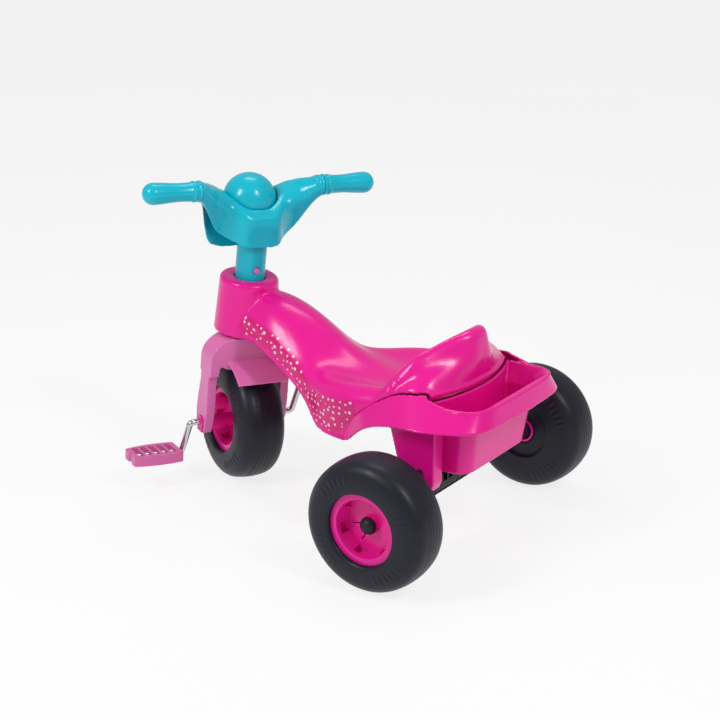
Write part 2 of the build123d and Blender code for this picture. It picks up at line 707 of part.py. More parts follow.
def make_fork():
    """The fork: arched crown on a tube, two ribbed legs with open slots, and a short mudguard."""
    with BuildPart() as fork:
        with BuildSketch(across(TURNED, 4.5)):
            with BuildLine():
                Polyline((FORK_OUTER, 80), (FORK_OUTER, 104))
                left = ((FORK_OUTER, 104), (61, 124), (44, 137), (26, FORK_CROWN_TOP))
                Spline(*left, tangents=((0, 1), (-1, 0)))
                Polyline((26, FORK_CROWN_TOP), (-26, FORK_CROWN_TOP))
                right = ((-26, FORK_CROWN_TOP), (-44, 137), (-61, 124), (-FORK_OUTER, 104))
                Spline(*right, tangents=((-1, 0), (0, -1)))
                Polyline((-FORK_OUTER, 104), (-FORK_OUTER, 80), (-FORK_INNER, 80))
                arch = ((-FORK_INNER, 80), (-44, 93), (0, FORK_CROWN_UNDER), (44, 93), (FORK_INNER, 80))
                Spline(*arch, tangents=((0, 1), (0, -1)))
                Line((FORK_INNER, 80), (FORK_OUTER, 80))
            make_face()
        extrude(amount=-38)
        for side in (1, -1):
            with BuildSketch(along(TURNED, side * FORK_OUTER)):
                with BuildLine():
                    line = Spline(*LEG_LINE)
                    Line(line @ 1, line @ 0)
                make_face()
            extrude(amount=side * FORK_LEG_THICK)
            with BuildSketch(along(TURNED, side * (FORK_OUTER + 1))):
                with Locations((-STEER_OFFSET, -15)):
                    Rectangle(2 * (AXLE_SLOT + RUN_CLEAR), 15, align=(Align.CENTER, Align.MIN))
                with Locations((-STEER_OFFSET, -30)):
                    Rectangle(2 * (AXLE_SLOT + RUN_CLEAR), 20, align=(Align.CENTER, Align.MIN))
                with Locations((-STEER_OFFSET, 0)):
                    Circle(AXLE_SLOT + RUN_CLEAR)
            extrude(amount=side * (FORK_LEG_THICK + 2), mode=Mode.SUBTRACT)
        with BuildSketch(TURNED.offset(FORK_CROWN_UNDER + 8)):
            Circle(STEM_RADIUS + 4)
        extrude(amount=HEAD_FOOT - SEAT_CLEAR - FORK_CROWN_UNDER - 8)
        with BuildSketch(TURNED.offset(FORK_CROWN_UNDER + 6)):
            Circle(STEERER_RADIUS)
        extrude(amount=BUTTON_HEIGHT + 20 - FORK_CROWN_UNDER - 6)
        with BuildSketch(TURNED.offset(FORK_CROWN_UNDER - 10)):
            Circle(STEERER_BORE)
        extrude(amount=BUTTON_HEIGHT + 40 - FORK_CROWN_UNDER, mode=Mode.SUBTRACT)
        with BuildSketch(along(TURNED, 0)):
            with BuildLine():
                centre = (-STEER_OFFSET, 0)
                inner = CenterArc(centre, FENDER_RADIUS - FENDER_WALL, 78, 50)
                outer = CenterArc(centre, FENDER_RADIUS, 78, 50)
                Line(inner @ 0, outer @ 0)
                Line(inner @ 1, outer @ 1)
            make_face()
        extrude(amount=FENDER_HALF_WIDTH, both=True)
        with BuildSketch(BUTTON_FACE):
            Circle(BUTTON_RADIUS + RUN_CLEAR)
        extrude(amount=STEERER_RADIUS + 2, mode=Mode.SUBTRACT)
    return fork


def make_fork_bush(side):
    """A bush snapped into a leg's open slot, round the crank's axle."""
    outer = AXLE_SLOT
    with BuildPart() as bush:
        with BuildSketch(along(TURNED, side * (FORK_OUTER + 1.5))):
            with Locations((-STEER_OFFSET, 0)):
                Circle(outer)
            with Locations((-STEER_OFFSET, -15)):
                Rectangle(2 * outer, 15, align=(Align.CENTER, Align.MIN))
            with Locations((-STEER_OFFSET, 0)):
                Circle(CRANK_ROD_RADIUS + RUN_CLEAR, mode=Mode.SUBTRACT)
        extrude(amount=side * (FORK_LEG_THICK + 1.5))
        with BuildSketch(along(TURNED, side * (FORK_OUTER + 2.5))):
            with Locations((-STEER_OFFSET, 0)):
                Circle(outer + 2.5)
                Circle(CRANK_ROD_RADIUS + RUN_CLEAR, mode=Mode.SUBTRACT)
        extrude(amount=side * (2.5 - SEAT_CLEAR / 3))
    return bush


def make_crank():
    """The bent steel crank: axle, two arms and two pedal axles in one rod."""
    reach = PEDAL_INNER + PEDAL_LENGTH - 2.5
    with BuildPart() as crank:
        with BuildLine():
            route = FilletPolyline(
                WHEEL_CENTRE + LEFT * reach + ARM * CRANK_THROW,
                WHEEL_CENTRE + LEFT * (CRANK_ARM_OUT + CRANK_SPLAY) + ARM * CRANK_THROW,
                WHEEL_CENTRE + LEFT * (CRANK_ARM_OUT - CRANK_SPLAY),
                WHEEL_CENTRE - LEFT * (CRANK_ARM_OUT - CRANK_SPLAY),
                WHEEL_CENTRE - LEFT * (CRANK_ARM_OUT + CRANK_SPLAY) - ARM * CRANK_THROW,
                WHEEL_CENTRE - LEFT * reach - ARM * CRANK_THROW,
                radius=1.4 * CRANK_ROD_RADIUS,
            )
        with BuildSketch(Plane(origin=route @ 0, z_dir=route % 0)):
            Circle(CRANK_ROD_RADIUS)
        sweep()
    return crank


def pedal_plane(side):
    """A pedal's frame: level across its depth, with its length along the crank's end."""
    outward = LEFT * side
    up = (Vector(0, 0, 1) - LEFT * LEFT.Z).normalized()
    middle = WHEEL_CENTRE + outward * (PEDAL_INNER + PEDAL_LENGTH / 2) + ARM * side * CRANK_THROW
    return Plane(origin=middle, x_dir=outward, z_dir=up)


def make_pedal(side):
    """A flat moulded pedal: rails and cross ribs with gaps that show the axle."""
    plane = pedal_plane(side)
    half = PEDAL_LENGTH / 2
    pitch = (PEDAL_LENGTH - 12) / PEDAL_RIBS
    with BuildPart() as pedal:
        with BuildSketch(plane.offset(-PEDAL_HEIGHT / 2)):
            with BuildLine():
                ThreePointArc((-half, PEDAL_DEPTH / 2 - 3), (0, PEDAL_DEPTH / 2), (half, PEDAL_DEPTH / 2 - 6))
                Polyline((half, PEDAL_DEPTH / 2 - 6), (half, 6), (half - 3, 3), (half - 3, -3), (half, -6))
                Line((half, -6), (half, 6 - PEDAL_DEPTH / 2))
                ThreePointArc((half, 6 - PEDAL_DEPTH / 2), (0, -PEDAL_DEPTH / 2), (-half, 3 - PEDAL_DEPTH / 2))
                Line((-half, 3 - PEDAL_DEPTH / 2), (-half, PEDAL_DEPTH / 2 - 3))
            make_face()
        extrude(amount=PEDAL_HEIGHT)
        fillet(pedal.edges().filter_by(Axis(plane.origin, plane.z_dir)), 2)
        with BuildSketch(plane.offset(-PEDAL_HEIGHT)):
            with GridLocations(pitch, 0, PEDAL_RIBS, 1):
                SlotCenterToCenter(PEDAL_DEPTH - 24, pitch - 4, rotation=90)
        extrude(amount=2 * PEDAL_HEIGHT, mode=Mode.SUBTRACT)
        with BuildSketch(Plane(origin=plane.origin - plane.x_dir * half, x_dir=plane.y_dir, z_dir=plane.x_dir)):
            Circle(CRANK_ROD_RADIUS + RUN_CLEAR)
        extrude(amount=PEDAL_LENGTH - 2 - 0.5, mode=Mode.SUBTRACT)
    return pedal


# ---------------------------------------------------------------- handlebar
@dataclass(frozen=True)
class CowlSection:
    """One section of the cowl, seen from the side: its place and its outline from the rear edge,
    over the top, to the front edge."""

    left: float
    outline: tuple


GRIP_ROOT_RADIUS = 15.0
ROOT_ANGLES = (250, 200, 150, 115, 75, 30, -20, -70)
ROOT_OUTLINE = tuple(
    (
        GRIP_ROOT_RADIUS * cos(radians(angle)) - GRIP_BACK,
        GRIP_ROOT_RADIUS * sin(radians(angle)) + GRIP_HEIGHT,
    )
    for angle in ROOT_ANGLES
)
COWL_SECTIONS = (
    CowlSection(0, (
        (-34, 280), (-34, 306), (-31.5, 325), (-25, 332), (5, 340), (33, 347), (37, 306), (29, 262))),
    CowlSection(20, (
        (-34, 280), (-34, 306), (-31.5, 325), (-25, 332), (5, 341), (33, 347), (37, 306), (29, 262))),
    CowlSection(28, (
        (-32, 282), (-31, 307), (-29, 326), (-22, 335), (6, 344), (34, 349), (37, 307), (29, 262))),
    CowlSection(40, (
        (-19, 287), (-19, 312), (-18, 332), (-10, 343), (12, 350), (35, 350), (37, 309), (29, 263))),
    CowlSection(50, (
        (-11, 292), (-13, 317), (-13, 340), (-4, 351), (16, 356), (36, 352), (37, 312), (28, 266))),
    CowlSection(60, (
        (-8, 299), (-12, 325), (-12, 349), (-2, 358), (16, 362), (33, 357), (36, 318), (27, 273))),
    CowlSection(70, (
        (-9, 311), (-15, 335), (-15, 356), (-7, 364), (10, 367), (26, 361), (31, 335), (24, 308))),
    CowlSection(80, (
        (-13, 329), (-21, 348), (-21, 364), (-13, 370), (1, 372), (14, 366), (18, 352), (10, 334))),
    CowlSection(90, (
        (-18, 345), (-27, 359), (-26, 372), (-18, 377), (-8, 377), (4, 372), (6, 360), (-2, 349))),
    CowlSection(GRIP_ROOT, ROOT_OUTLINE),
)


def make_cowl(inset, drop):
    """The cowl's form through its sections, drawn in by a wall, its open underside let down by a drop."""
    rows = list(reversed(COWL_SECTIONS)) + list(COWL_SECTIONS[1:])
    side = [1] * len(COWL_SECTIONS) + [-1] * (len(COWL_SECTIONS) - 1)
    with BuildPart() as cowl:
        for row, sign in zip(rows, side):
            with BuildSketch(along(TURNED, sign * row.left)):
                with BuildLine():
                    over = Spline(*drawn_in(row.outline, inset))
                    rear = over @ 0
                    front = over @ 1
                    if drop:
                        Polyline(front, (front.X, rear.Y - drop), (rear.X, rear.Y - drop), rear)
                    else:
                        Line(front, rear)
                make_face()
        loft()
    return cowl.part


def make_pocket(grow, sink):
    """The round pocket that the dome stands in, grown and sunk by a wall."""
    with BuildPart() as pocket:
        with BuildSketch(TURNED.offset(DOME_FOOT - sink)):
            with Locations((DOME_AHEAD, 0)):
                Circle(DOME_RADIUS + DOME_GAP + grow)
        extrude(amount=2 * DOME_RADIUS)
    return pocket.part


def make_handlebar():
    """The handlebar: a cowl open below, its arms, and the stem that turns in the head."""
    with BuildPart() as bar:
        add(make_cowl(0, 0))
        with BuildSketch(TURNED.offset(HEAD_TOP)):
            Rectangle(4 * DOME_RADIUS, 2 * (GRIP_ROOT - ROOT_WALL))
        reach = extrude(amount=GRIP_HEIGHT, mode=Mode.PRIVATE)
        add(make_cowl(STEM_WALL, COWL_DROP) & reach, mode=Mode.SUBTRACT)
        add(make_pocket(STEM_WALL, STEM_WALL) & make_cowl(STEM_WALL / 2, 0))
        with BuildSketch(TURNED.offset(HEAD_FOOT + 1)):
            Circle(STEM_RADIUS)
        extrude(amount=DOME_FOOT - HEAD_FOOT - 1 - SEAT_CLEAR)
        add(make_pocket(0, SEAT_CLEAR), mode=Mode.SUBTRACT)
        for side in (1, -1):
            root = TURNED.origin + TURNED.z_dir * GRIP_HEIGHT - TURNED.x_dir * GRIP_BACK
            start = GRIP_ROOT - ROOT_WALL
            with BuildSketch(Plane(origin=root + LEFT * side * start, x_dir=TURNED.x_dir, z_dir=LEFT * side)):
                Circle(GRIP_CORE_RADIUS)
            extrude(amount=GRIP_TIP - GRIP_NOSE - start)
        with BuildSketch(TURNED.offset(HEAD_FOOT)):
            Circle(STEM_BORE)
        extrude(amount=BUTTON_HEIGHT + 30 - HEAD_FOOT, mode=Mode.SUBTRACT)
        with BuildSketch(BUTTON_FACE):
            Circle(BUTTON_RADIUS + RUN_CLEAR)
        extrude(amount=STEM_RADIUS + 2, mode=Mode.SUBTRACT)
    return bar


def make_dome_form(gap):
    """The dome's outside, grown by a gap."""
    with BuildPart() as form:
        with BuildSketch(along(TURNED, 0)):
            with Locations((DOME_AHEAD, DOME_HEIGHT)):
                Circle(DOME_RADIUS + gap)
            with Locations((DOME_AHEAD, DOME_HEIGHT)):
                Rectangle(200, 200, align=(Align.MAX, Align.CENTER), mode=Mode.SUBTRACT)
            with Locations((DOME_AHEAD, DOME_FOOT - gap)):
                Rectangle(200, 200, align=(Align.CENTER, Align.MAX), mode=Mode.SUBTRACT)
        revolve(axis=Axis(TURNED.origin + TURNED.x_dir * DOME_AHEAD, TURNED.z_dir))
    return form.part


def make_dome():
    """The round dome clipped into the cowl's top."""
    with BuildPart() as dome:
        add(make_dome_form(0))
        with BuildSketch(along(TURNED, 0)):
            with Locations((DOME_AHEAD, DOME_HEIGHT)):
                Circle(DOME_RADIUS - STEM_WALL)
                Rectangle(200, 200, align=(Align.MAX, Align.CENTER), mode=Mode.SUBTRACT)
        revolve(axis=Axis(TURNED.origin + TURNED.x_dir * DOME_AHEAD, TURNED.z_dir), mode=Mode.SUBTRACT)
    return dome


def make_grip(side):
    """A soft grip with a collar at its root and a swollen round end."""
    root = TURNED.origin + TURNED.z_dir * GRIP_HEIGHT - TURNED.x_dir * GRIP_BACK
    outward = LEFT * side
    length = GRIP_TIP - GRIP_ROOT
    with BuildPart() as grip:
        with BuildSketch(radial(root + outward * GRIP_ROOT, TURNED.z_dir, outward)):
            with BuildLine():
                Polyline(
                    (0, 0.3), (15.5, 0.3), (15.5, 3), (14, 4), (14, 7), (15.3, 8), (15.3, 11), (14, 13)
                )
                waist = ThreePointArc((14, 13), (13.4, length * 0.3), (14.3, length * 0.55))
                TangentArc((14.3, length * 0.55), (GRIP_NOSE, length - GRIP_NOSE), tangent=waist % 1)
                CenterArc((0, length - GRIP_NOSE), GRIP_NOSE, 0, 90)
                Line((0, length), (0, 0.3))
            make_face()
        revolve(axis=Axis(root, outward))
        with BuildSketch(Plane(origin=root + outward * GRIP_ROOT, x_dir=TURNED.x_dir, z_dir=outward)):
            Circle(GRIP_CORE_RADIUS + RUN_CLEAR)
        extrude(amount=length - 15.5, mode=Mode.SUBTRACT)
    return grip


def make_snap_button():
    """The round button that holds the fork's tube in the handlebar's stem."""
    face = BUTTON_FACE
    with BuildPart() as button:
        with BuildSketch(face.offset(STEERER_BORE - 3.5)):
            Circle(BUTTON_RADIUS)
        extrude(amount=STEM_RADIUS + 1.5 - STEERER_BORE + 3.5)
        fillet(button.faces().sort_by(Axis(face.origin, face.z_dir))[-1].edges(), 1.5)
        with BuildSketch(face.offset(STEERER_BORE - 5.5)):
            Circle(BUTTON_RADIUS + 2)
        extrude(amount=2)
    return button


def make_button_spring():
    """The bent leaf spring behind the button."""
    face = BUTTON_SIDE
    front = -(STEERER_BORE - 5.5) + 0.6
    with BuildPart() as spring:
        with BuildSketch(face):
            with BuildLine() as leaf:
                far = STEERER_BORE - 1.2
                FilletPolyline((front, 8), (front, -14), (far, -22), (far, 10), radius=4)
                offset(amount=0.4, side=Side.BOTH)
            make_face()
        extrude(amount=3, both=True)
    return spring


# ---------------------------------------------------------------- every piece
PIECES = {
    "body_shell": make_body_shell(),
    "rear_tub": make_rear_tub(),
    "tub_screws": make_tub_screws(),
    "axle_beam": make_axle_beam(),
    "beam_pegs": make_beam_pegs(),
    "rear_axle": make_rod(REAR_AXLE, AXLE_RADIUS, REAR_TRACK / 2 + HUB_BOSS_OUT + 4.5),
    "fork": make_fork(),
    "crank": make_crank(),
    "handlebar": make_handlebar(),
    "handlebar_dome": make_dome(),
    "snap_button": make_snap_button(),
    "button_spring": make_button_spring(),
}
HUB_BORE = AXLE_RADIUS + RUN_CLEAR
for word, sign in (("left", 1), ("right", -1)):
    out = Vector(0, sign, 0)
    ahead = Vector(1, 0, 0)
    middle = REAR_AXLE + out * (REAR_TRACK / 2)
    inboard = -HUB_BOSS_OUT - 1
    PIECES["rear_tyre_" + word] = make_tyre(middle, ahead, out)
    PIECES["rear_hub_" + word] = make_hub(middle, ahead, out, HUB_BORE)
    PIECES["axle_cap_" + word] = make_cap(middle, ahead, out)
    PIECES["axle_washer_" + word] = make_ring(
        middle, ahead, out, HUB_BORE, HUB_BOSS_RADIUS, inboard, inboard + WASHER_THICK
    )
    PIECES["fork_bush_" + word] = make_fork_bush(sign)
    PIECES["wheel_spacer_" + word] = make_ring(
        WHEEL_CENTRE, TURNED.x_dir, LEFT * sign, CRANK_ROD_RADIUS + RUN_CLEAR,
        HUB_BOSS_RADIUS, HUB_BOSS_OUT + SPACER_GAP, FORK_INNER - 2 * SPACER_GAP
    )
    PIECES["pedal_" + word] = make_pedal(sign)
    PIECES["grip_" + word] = make_grip(sign)
PIECES["front_tyre"] = make_tyre(WHEEL_CENTRE, TURNED.x_dir, LEFT)
PIECES["front_hub"] = make_hub(WHEEL_CENTRE, TURNED.x_dir, LEFT, CRANK_ROD_RADIUS + RUN_CLEAR)

os.makedirs("parts", exist_ok=True)
for name, piece in PIECES.items():
    piece.part.label = name
    export_step(piece.part, "parts/" + name + ".step")
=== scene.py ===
"""A moulded child's tricycle: finishes, printed films, tyre marks and studio round the model."""

import json
import logging
import math
from collections.abc import Sequence
from dataclasses import dataclass
from enum import Enum

import bmesh
import bpy
import numpy as np
from mathutils import Matrix, Vector
from mathutils.bvhtree import BVHTree


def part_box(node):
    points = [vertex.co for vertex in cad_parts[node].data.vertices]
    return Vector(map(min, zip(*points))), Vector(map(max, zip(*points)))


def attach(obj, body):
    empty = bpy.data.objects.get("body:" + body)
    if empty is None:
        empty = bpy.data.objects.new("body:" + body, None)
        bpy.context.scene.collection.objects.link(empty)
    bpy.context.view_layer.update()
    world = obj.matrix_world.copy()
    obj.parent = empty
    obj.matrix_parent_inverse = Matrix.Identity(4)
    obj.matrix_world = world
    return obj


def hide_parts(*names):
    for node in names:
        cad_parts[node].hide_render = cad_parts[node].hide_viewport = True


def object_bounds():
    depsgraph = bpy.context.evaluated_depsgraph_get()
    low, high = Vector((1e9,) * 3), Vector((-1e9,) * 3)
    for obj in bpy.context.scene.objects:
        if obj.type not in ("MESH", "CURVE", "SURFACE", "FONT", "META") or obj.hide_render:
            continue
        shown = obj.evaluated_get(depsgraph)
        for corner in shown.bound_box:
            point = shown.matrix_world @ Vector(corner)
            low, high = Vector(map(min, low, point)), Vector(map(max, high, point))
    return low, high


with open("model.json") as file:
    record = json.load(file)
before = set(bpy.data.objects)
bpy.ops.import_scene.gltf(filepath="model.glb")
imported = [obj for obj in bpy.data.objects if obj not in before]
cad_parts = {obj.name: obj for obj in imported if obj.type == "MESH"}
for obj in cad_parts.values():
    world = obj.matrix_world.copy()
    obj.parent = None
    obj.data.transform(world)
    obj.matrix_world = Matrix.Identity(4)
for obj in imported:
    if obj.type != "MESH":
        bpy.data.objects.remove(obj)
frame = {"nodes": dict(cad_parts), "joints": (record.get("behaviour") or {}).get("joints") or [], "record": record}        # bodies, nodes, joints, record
CAD_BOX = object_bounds()
AXLE_X = sum(corner[0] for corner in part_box("rear_tyre_left")) / 2
LOG = logging.getLogger("tricycle")
MM = 0.001
WELD = 1e-6              # metres between points that count as one

Number = int | float
Colour = tuple[float, float, float]
Point = tuple[float, float, float]


# ---------------------------------------------------------------- shader maths
class Socket:
    """An output of a shader node that takes part in Python expressions."""

    def __init__(self, kit: "NodeKit", link: bpy.types.NodeSocket) -> None:
        """Keep the node kit that made the socket and the socket itself.

        Args:
            kit: The node kit that owns the material's tree.
            link: The output socket that later nodes read.
        """
        self.kit = kit
        self.link = link

    def _maths(
            self, operation: str, first: "Socket | Number", second: "Socket | Number") -> "Socket":
        """Add a Math node.

        Args:
            operation: The Math node's operation.
            first: The first value.
            second: The second value.

        Returns:
            The node's result.
        """
        return self.kit.node("ShaderNodeMath", {"operation": operation}, [first, second])

    def __add__(self, other: "Socket | Number") -> "Socket":
        """Sum of two values."""
        return self._maths("ADD", self, other)

    def __radd__(self, other: "Socket | Number") -> "Socket":
        """Sum with a number on the left."""
        return self._maths("ADD", other, self)

    def __sub__(self, other: "Socket | Number") -> "Socket":
        """Difference of two values."""
        return self._maths("SUBTRACT", self, other)

    def __rsub__(self, other: "Socket | Number") -> "Socket":
        """Difference from a number on the left."""
        return self._maths("SUBTRACT", other, self)

    def __mul__(self, other: "Socket | Number") -> "Socket":
        """Product of two values."""
        return self._maths("MULTIPLY", self, other)

    def __rmul__(self, other: "Socket | Number") -> "Socket":
        """Product with a number on the left."""
        return self._maths("MULTIPLY", other, self)

    def smooth(self, low: "Socket | Number", high: "Socket | Number") -> "Socket":
        """A soft step from nought at low to one at high.

        Args:
            low: Where the step starts.
            high: Where the step ends.

        Returns:
            The stepped value.
        """
        settings = {"interpolation_type": "SMOOTHSTEP"}
        inputs = {"Value": self, "From Min": low, "From Max": high}
        return self.kit.node("ShaderNodeMapRange", settings, inputs)


class NodeKit:
    """Builds one material's node tree."""

    MIX_FACTOR, MIX_FIRST, MIX_SECOND = 0, 6, 7      # the Mix node's colour sockets
    MIX_RESULT = 2

    def __init__(self, name: str) -> None:
        """Start a material with an empty tree.

        Args:
            name: The material's name.
        """
        self.material = bpy.data.materials.new(name)
        self.material.use_nodes = True
        self.tree = self.material.node_tree
        self.tree.nodes.clear()

    def node(
            self, kind: str, settings: dict, inputs: dict | Sequence,
            output: int | str = 0) -> Socket:
        """Add a node, give it its settings and feed its sockets.

        Args:
            kind: The node's type.
            settings: Its own settings, such as an operation, which are set first.
            inputs: Values or sockets, by socket name or in order.
            output: Which output to hand back.

        Returns:
            The chosen output.
        """
        node = self.tree.nodes.new(kind)
        for key, value in settings.items():
            setattr(node, key, value)
        pairs = inputs.items() if isinstance(inputs, dict) else enumerate(inputs)
        for key, value in pairs:
            if isinstance(value, Socket):
                self.tree.links.new(value.link, node.inputs[key])
            else:
                node.inputs[key].default_value = value
        return Socket(self, node.outputs[output])

    def place(self) -> Socket:
        """The point on the object, in metres."""
        return self.node("ShaderNodeTexCoord", {}, {}, "Object")

    def noise(self, scale: Number, detail: Number = 2.0, roughness: Number = 0.5) -> Socket:
        """A noise value over the object.

        Args:
            scale: Waves per metre.
            detail: Octaves.
            roughness: How strong the finer octaves are.

        Returns:
            The noise, from nought to one.
        """
        inputs = {"Vector": self.place(), "Scale": scale, "Detail": detail, "Roughness": roughness}
        return self.node("ShaderNodeTexNoise", {}, inputs, "Fac")

    def mix(
            self, factor: Socket | Number, first: Socket | Colour,
            second: Socket | Colour) -> Socket:
        """Blend two colours.

        Args:
            factor: How much of the second colour shows.
            first: The first colour.
            second: The second colour.

        Returns:
            The blended colour.
        """
        inputs = {self.MIX_FACTOR: factor}
        for index, colour in ((self.MIX_FIRST, first), (self.MIX_SECOND, second)):
            inputs[index] = colour if isinstance(colour, Socket) else (*colour, 1.0)
        return self.node("ShaderNodeMix", {"data_type": "RGBA"}, inputs, self.MIX_RESULT)

    def bump(self, height: Socket, strength: Number, distance: Number) -> Socket:
        """A bumped normal.

        Args:
            height: The height value.
            strength: How strong the bump is.
            distance: The height in metres that one stands for.

        Returns:
            The normal.
        """
        inputs = {"Height": height, "Strength": strength, "Distance": distance}
        return self.node("ShaderNodeBump", {}, inputs, "Normal")

    def finish(self, constants: dict, varying: dict) -> bpy.types.Material:
        """Close the tree with one Principled shader.

        Args:
            constants: Values set on the shader's own sockets.
            varying: Sockets linked into the shader.

        Returns:
            The material.
        """
        shader = self.node("ShaderNodeBsdfPrincipled", {}, {**constants, **varying}, "BSDF")
        output = self.tree.nodes.new("ShaderNodeOutputMaterial")
        self.tree.links.new(shader.link, output.inputs["Surface"])
        return self.material


# ---------------------------------------------------------------- finishes
@dataclass(frozen=True)
class GlossPlastic:
    """A glossy blow-moulded plastic with faint flow marks and a soft orange peel.

    The scales are waves per metre, and peel is the height of the orange peel in metres.
    """

    name: str
    colour: Colour
    shade: Colour
    roughness: float = 0.22
    specular: float = 0.32
    coat: float = 0.10
    coat_roughness: float = 0.06
    index: float = 1.5
    cloud_scale: float = 9.0
    cloud_span: tuple[float, float] = (0.35, 0.75)
    cloud_tint: float = 0.5
    cloud_roughness: float = 0.06
    scuff_scale: float = 1100.0
    scuff_span: tuple[float, float] = (0.55, 0.8)
    scuff_roughness: float = 0.05
    peel_scale: float = 260.0
    wave_scale: float = 60.0
    wave_share: float = 2.0
    peel: float = 0.00002
    peel_strength: float = 0.35

    def make(self) -> bpy.types.Material:
        """Build the material.

        Returns:
            The material.
        """
        kit = NodeKit(self.name)
        cloud = kit.noise(self.cloud_scale, 3.0)
        fine = kit.noise(self.peel_scale)
        scuffs = kit.noise(self.scuff_scale, 3.0, 0.7)
        tint = cloud.smooth(*self.cloud_span) * self.cloud_tint
        colour = kit.mix(tint, self.colour, self.shade)
        worn = scuffs.smooth(*self.scuff_span) * self.scuff_roughness
        roughness = self.roughness + cloud * self.cloud_roughness + worn
        height = fine + kit.noise(self.wave_scale) * self.wave_share
        normal = kit.bump(height, self.peel_strength, self.peel)
        constants = {
            "Coat Weight": self.coat, "Coat Roughness": self.coat_roughness,
            "Specular IOR Level": self.specular, "IOR": self.index}
        varying = {"Base Color": colour, "Roughness": roughness, "Normal": normal}
        return kit.finish(constants, varying)


@dataclass(frozen=True)
class SatinPlastic:
    """A satin dark plastic with a fine grain."""

    name: str
    colour: Colour
    shade: Colour
    roughness: float = 0.38
    specular: float = 0.3
    coat: float = 0.03
    index: float = 1.48
    cloud_scale: float = 14.0
    cloud_roughness: float = 0.1
    grain_scale: float = 900.0
    grain: float = 0.00006
    grain_strength: float = 0.3

    def make(self) -> bpy.types.Material:
        """Build the material.

        Returns:
            The material.
        """
        kit = NodeKit(self.name)
        cloud = kit.noise(self.cloud_scale, 3.0)
        fine = kit.noise(self.grain_scale)
        colour = kit.mix(cloud, self.colour, self.shade)
        roughness = self.roughness + cloud * self.cloud_roughness
        normal = kit.bump(fine, self.grain_strength, self.grain)
        constants = {
            "IOR": self.index, "Specular IOR Level": self.specular, "Coat Weight": self.coat}
        varying = {"Base Color": colour, "Roughness": roughness, "Normal": normal}
        return kit.finish(constants, varying)


@dataclass(frozen=True)
class PlatedSteel:
    """Bright plated steel with faint drawing marks."""

    name: str
    colour: Colour = (0.62, 0.62, 0.64)
    shade: Colour = (0.5, 0.5, 0.53)
    roughness: float = 0.12
    cloud_scale: float = 40.0
    cloud_roughness: float = 0.12
    mark_scale: float = 1500.0
    mark_depth: float = 0.00002
    mark_strength: float = 0.2

    def make(self) -> bpy.types.Material:
        """Build the material.

        Returns:
            The material.
        """
        kit = NodeKit(self.name)
        cloud = kit.noise(self.cloud_scale)
        fine = kit.noise(self.mark_scale)
        colour = kit.mix(cloud, self.colour, self.shade)
        roughness = self.roughness + cloud * self.cloud_roughness
        normal = kit.bump(fine, self.mark_strength, self.mark_depth)
        varying = {"Base Color": colour, "Roughness": roughness, "Normal": normal}
        return kit.finish({"Metallic": 1.0}, varying)


@dataclass(frozen=True)
class DottedFilm:
    """A printed film with pale round dots of a few sizes on a deep pink ground.

    The dots' radii are shares of their spacing: small, and up to large more than that.
    """

    name: str
    ground: Colour = (0.60, 0.002, 0.15)
    ground_shade: Colour = (0.66, 0.003, 0.18)
    dot: Colour = (0.90, 0.58, 0.76)
    spacing: float = 0.0098
    scatter: float = 0.72
    row_turn: float = 0.4
    small: float = 0.09
    large: float = 0.15
    soft_rim: float = 0.03
    roughness: float = 0.30
    specular: float = 0.32
    coat: float = 0.1
    coat_roughness: float = 0.08
    index: float = 1.5
    cloud_scale: float = 20.0
    cloud_roughness: float = 0.05
    grain_scale: float = 300.0
    grain: float = 0.00003
    grain_strength: float = 0.2

    def make(self) -> bpy.types.Material:
        """Build the material.

        Returns:
            The material.
        """
        kit = NodeKit(self.name)
        along_flank = [kit.place(), (1.0, 0.0, 1.0)]
        flat = kit.node("ShaderNodeVectorMath", {"operation": "MULTIPLY"}, along_flank)
        turn = (math.radians(90.0), self.row_turn, 0.0)
        turned = kit.node("ShaderNodeMapping", {}, {"Vector": flat, "Rotation": turn})
        cell = {"Vector": turned, "Scale": 1.0 / self.spacing, "Randomness": self.scatter}
        settings = {"voronoi_dimensions": "2D", "feature": "F1"}
        distance = kit.node("ShaderNodeTexVoronoi", settings, cell, "Distance")
        shade = kit.node("ShaderNodeTexVoronoi", settings, cell, "Color")
        chance = kit.node("ShaderNodeSeparateColor", {}, [shade], "Red")
        radius = self.small + chance * self.large
        mask = 1.0 - distance.smooth(radius - self.soft_rim, radius + self.soft_rim)
        cloud = kit.noise(self.cloud_scale)
        ground = kit.mix(cloud, self.ground, self.ground_shade)
        colour = kit.mix(mask, ground, self.dot)
        roughness = self.roughness + cloud * self.cloud_roughness
        normal = kit.bump(kit.noise(self.grain_scale), self.grain_strength, self.grain)
        constants = {
            "Coat Weight": self.coat, "Coat Roughness": self.coat_roughness,
            "Specular IOR Level": self.specular, "IOR": self.index}
        varying = {"Base Color": colour, "Roughness": roughness, "Normal": normal}
        return kit.finish(constants, varying)


